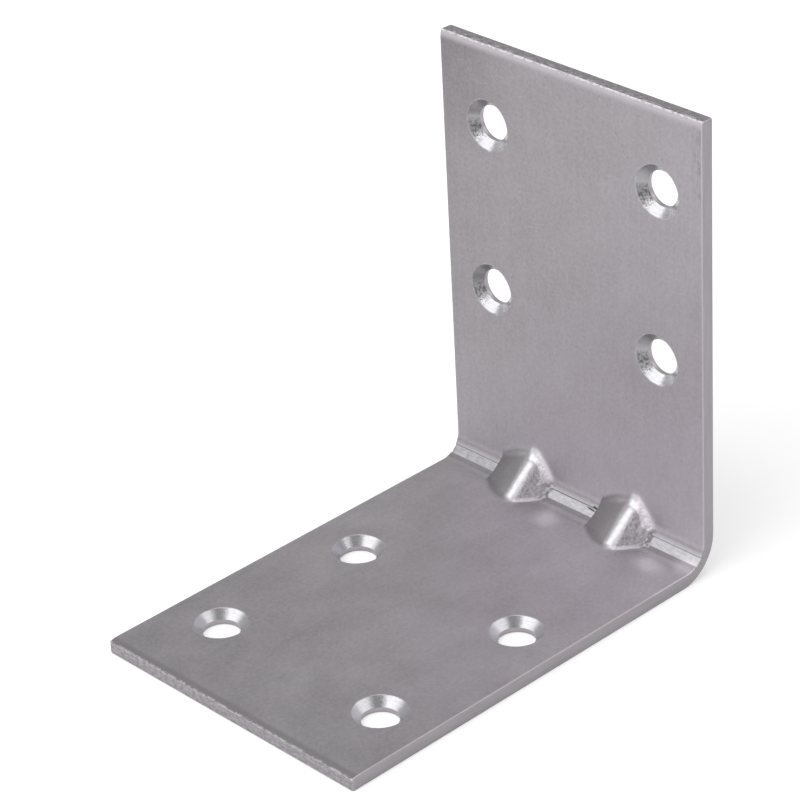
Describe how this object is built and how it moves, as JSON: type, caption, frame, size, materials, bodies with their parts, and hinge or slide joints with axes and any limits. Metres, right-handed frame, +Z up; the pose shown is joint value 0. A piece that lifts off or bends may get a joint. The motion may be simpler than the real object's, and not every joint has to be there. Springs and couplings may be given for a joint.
{
  "type": "corner brace bracket",
  "caption": "Right-angle corner brace pressed from zinc-plated steel strip, with countersunk screw holes in both legs and stiffening darts pressed into the bend.",
  "frame": {"origin": "middle of the base outline, on the underside of the base leg", "axes": "+Z up along the upright leg, +Y out of the back face of the upright, base leg reaching towards -Y, X across the strip's width"},
  "size_m": [0.0414, 0.06, 0.06],
  "materials": {
    "zinc_plated_steel": "satin zinc plating over rolled sheet, brighter in the countersinks and along the darts' ridges"
  },
  "bodies": {
    "root": {"bracket": "zinc_plated_steel"}
  },
  "joints": []
}
